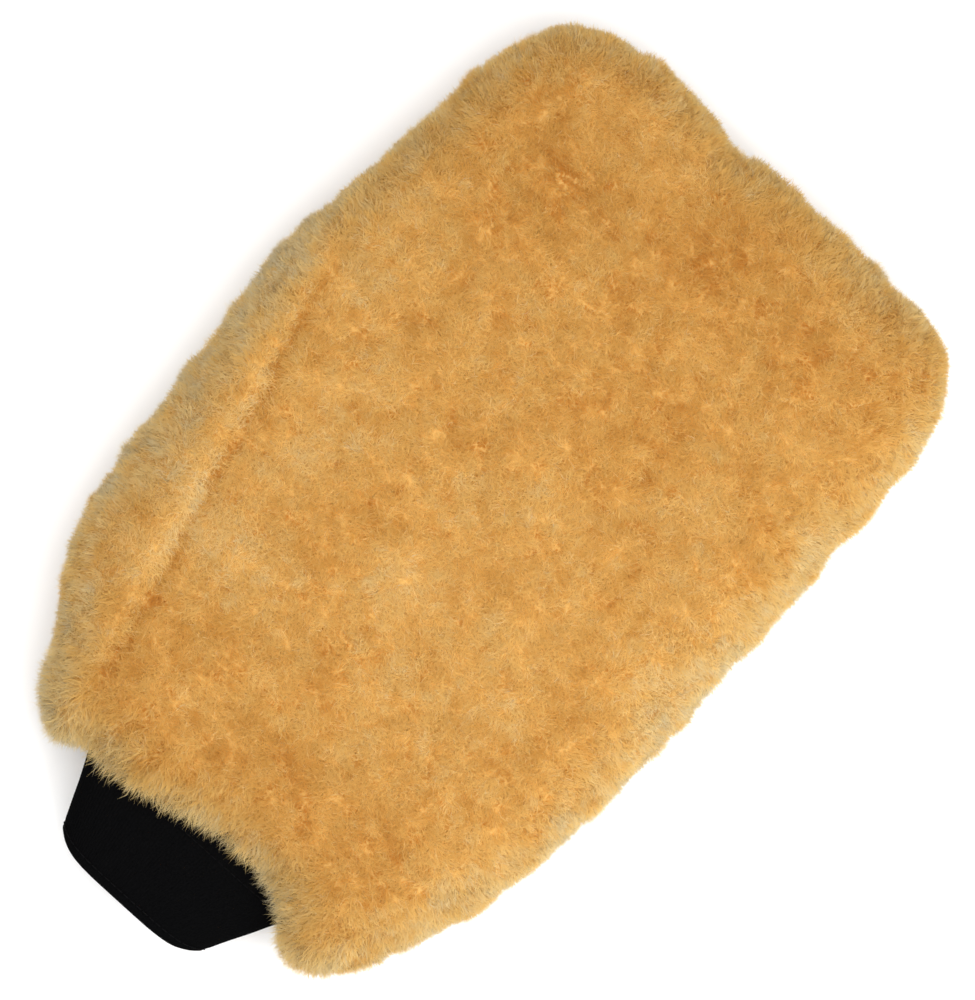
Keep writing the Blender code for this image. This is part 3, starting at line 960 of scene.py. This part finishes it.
def woven(name, dark, light, thread, roughness, directions=("X", "Y")):
    """Cloth of crossing threads, a thread's width apart, with a soft change of tone."""
    material, nodes, links, shader = plain_material(name, roughness, sheen=0.1)
    place = object_coordinates(nodes)
    scale = pi / (10 * thread)
    first, second = (bands(nodes, links, place, way, scale) for way in directions)
    crossed = nodes.new("ShaderNodeMath")
    crossed.operation = "MAXIMUM"
    links.new(first, crossed.inputs[0])
    links.new(second, crossed.inputs[1])
    patch = nodes.new("ShaderNodeTexNoise")
    patch.inputs["Scale"].default_value = 60
    patch.inputs["Detail"].default_value = 5
    links.new(place, patch.inputs["Vector"])
    both = nodes.new("ShaderNodeMath")
    both.operation = "MULTIPLY"
    links.new(crossed.outputs[0], both.inputs[0])
    links.new(patch.outputs["Fac"], both.inputs[1])
    tint = ramp(nodes, [(0.1, dark), (0.65, light)])
    links.new(both.outputs[0], tint.inputs[0])
    links.new(tint.outputs[0], shader.inputs["Base Color"])
    bump(nodes, links, shader, crossed.outputs[0], thread * 0.5)
    return material


def grainy(name, dark, light, grain, roughness, specular=0.2):
    """A fine random grain, as of foam or of a dense knit."""
    material, nodes, links, shader = plain_material(name, roughness, specular)
    place = object_coordinates(nodes)
    speck = nodes.new("ShaderNodeTexNoise")
    speck.inputs["Scale"].default_value = 1 / grain
    speck.inputs["Detail"].default_value = 3
    links.new(place, speck.inputs["Vector"])
    tint = ramp(nodes, [(0.3, dark), (0.7, light)])
    links.new(speck.outputs["Fac"], tint.inputs[0])
    links.new(tint.outputs[0], shader.inputs["Base Color"])
    bump(nodes, links, shader, speck.outputs["Fac"], grain * 0.3)
    return material


# ---- Scene ---------------------------------------------------------------------------
VIEW_TURN = radians(42.2)  # the mitt's length runs up and to the right
VIEW_CENTRE = Vector((0.0026, 0.0150, 0.029))
VIEW_WIDTH = 0.2955
VIEW_DISTANCE = 1.3
IMAGE_SIZE = (975, 1000)
SENSOR = 36


def make_camera():
    data = bpy.data.cameras.new("camera")
    data.sensor_width = SENSOR
    data.sensor_fit = "AUTO"
    camera = bpy.data.objects.new("camera", data)
    bpy.context.scene.collection.objects.link(camera)
    turn = Matrix.Rotation(VIEW_TURN, 4, "Z")
    camera.matrix_world = (
        Matrix.Translation(VIEW_CENTRE) @ turn @ Matrix.Translation((0, 0, VIEW_DISTANCE))
    )
    # The frame is taller than wide, so the lens covers its height.
    height = VIEW_WIDTH * IMAGE_SIZE[1] / IMAGE_SIZE[0]
    data.lens = SENSOR * VIEW_DISTANCE / height
    bpy.context.scene.camera = camera


def area_light(name, place, target, size, power):
    data = bpy.data.lights.new(name, "AREA")
    data.shape = "DISK"
    data.size = size
    data.energy = power
    light = bpy.data.objects.new(name, data)
    bpy.context.scene.collection.objects.link(light)
    light.location = place
    aim = Vector(target) - Vector(place)
    light.rotation_euler = aim.to_track_quat("-Z", "Y").to_euler()


def make_stage():
    scene = bpy.context.scene
    world = bpy.data.worlds.new("studio")
    scene.world = world
    world.use_nodes = True
    back = world.node_tree.nodes["Background"]
    back.inputs["Color"].default_value = (1, 1, 1, 1)
    back.inputs["Strength"].default_value = 0.95
    mesh = bmesh.new()
    bmesh.ops.create_grid(mesh, x_segments=1, y_segments=1, size=2.5)
    data = bpy.data.meshes.new("floor")
    mesh.to_mesh(data)
    mesh.free()
    material, _, _, shader = plain_material("floor", 0.9, specular=0.5)
    shader.inputs["Base Color"].default_value = (0.95, 0.95, 0.95, 1)
    floor = add_piece("floor", data, material)
    floor.location.z = -0.0005
    area_light("key", (0.55, 0.02, 0.60), (0, 0, 0.03), 0.8, 5.0)
    area_light("fill", (0.0, 0.0, 0.5), (0, 0, 0.03), 0.35, 1.8)
    scene.view_settings.view_transform = "Standard"


make_camera()
make_stage()

skin = add_piece("plush_skin", make_skin(), skin_material())
pile = add_piece("plush_pile", grow_pile(skin.data), pile_material())
combine(skin, make_hollow(), "DIFFERENCE")
for piece in (skin, pile):
    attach(piece, "root")
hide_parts("front_plush", "back_plush", "side_plush")

knit = grainy(
    "black_knit", (0.0008, 0.0008, 0.0009), (0.0024, 0.0024, 0.0026),
    grain=0.0004, roughness=0.92, specular=0.02,
)
black_thread = grainy(
    "black_thread", (0.0018, 0.0018, 0.0020), (0.0046, 0.0046, 0.0050),
    grain=0.0003, roughness=0.85, specular=0.04,
)
foam = grainy(
    "padding_foam", (0.62, 0.55, 0.36), (0.84, 0.78, 0.58), grain=0.0006, roughness=0.95
)
backing = woven(
    "backing_cloth", (0.36, 0.26, 0.13), (0.62, 0.50, 0.30), thread=0.0007, roughness=0.9
)
lining = woven(
    "lining_cloth", (0.018, 0.018, 0.021), (0.075, 0.075, 0.085), thread=0.0004, roughness=0.8
)
tape = woven(
    "seam_tape", (0.04, 0.04, 0.045), (0.16, 0.16, 0.17),
    thread=0.0006, roughness=0.8, directions=("DIAGONAL", "Z"),
)
webbing = woven(
    "white_webbing", (0.45, 0.45, 0.43), (0.82, 0.82, 0.79),
    thread=0.0008, roughness=0.8, directions=("Y", "Z"),
)
thread = woven(
    "seam_thread", (0.50, 0.32, 0.12), (0.80, 0.58, 0.26),
    thread=0.0005, roughness=0.6, directions=("DIAGONAL", "Z"),
)


def soft_piece(mesh, material, node):
    """A piece that rides on the body and stands for one soft CAD node."""
    piece = add_piece(mesh.name, mesh, material)
    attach(piece, "root")
    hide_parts(node)
    return piece


cuff = soft_piece(cuff_knit(), knit, "cuff_fabric")
rows = [
    soft_piece(
        cuff_row(f"cuff_{row}_stitches", from_mouth),
        black_thread, f"cuff_{row}_thread",
    )
    for row, from_mouth in (("hem", HEM_ROW), ("channel", CHANNEL_ROW), ("root", ROOT_ROW))
]
rows.append(soft_piece(
    cuff_side_row("cuff_side_stitches"), black_thread, "cuff_side_thread"
))
# The knit's flat size is its size folded double, at rest, before it tapers.
elastic = soft_piece(cuff_band(), webbing, "cuff_elastic")

for side, seed in (("front", 41), ("back", 42)):
    pad = soft_piece(
        flat_layer(
            f"{side}_foam_pad", f"{side}_padding",
            edge=0.0030, wave=0.0004, wave_size=0.018, seed=seed,
        ),
        foam, f"{side}_padding",
    )
    cloth = soft_piece(
        flat_layer(
            f"{side}_backing_cloth", f"{side}_backing",
            edge=0.0010, wave=0.0003, wave_size=0.025, seed=seed + 2,
        ),
        backing, f"{side}_backing",
    )
    bag = soft_piece(
        lining_half(f"{side}_pocket_lining", f"lining_{side}", 1 if side == "front" else -1),
        lining, f"lining_{side}",
    )

band = soft_piece(side_band("side_backing_band"), backing, "side_backing")

for material, names in (
    (tape, ("front_seam_binding", "back_seam_binding", "cuff_root_tape")),
    (thread, ("front_seam_thread", "back_seam_thread", "lining_seam_thread")),
):
    for name in names:
        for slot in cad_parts[name].material_slots:
            slot.material = material
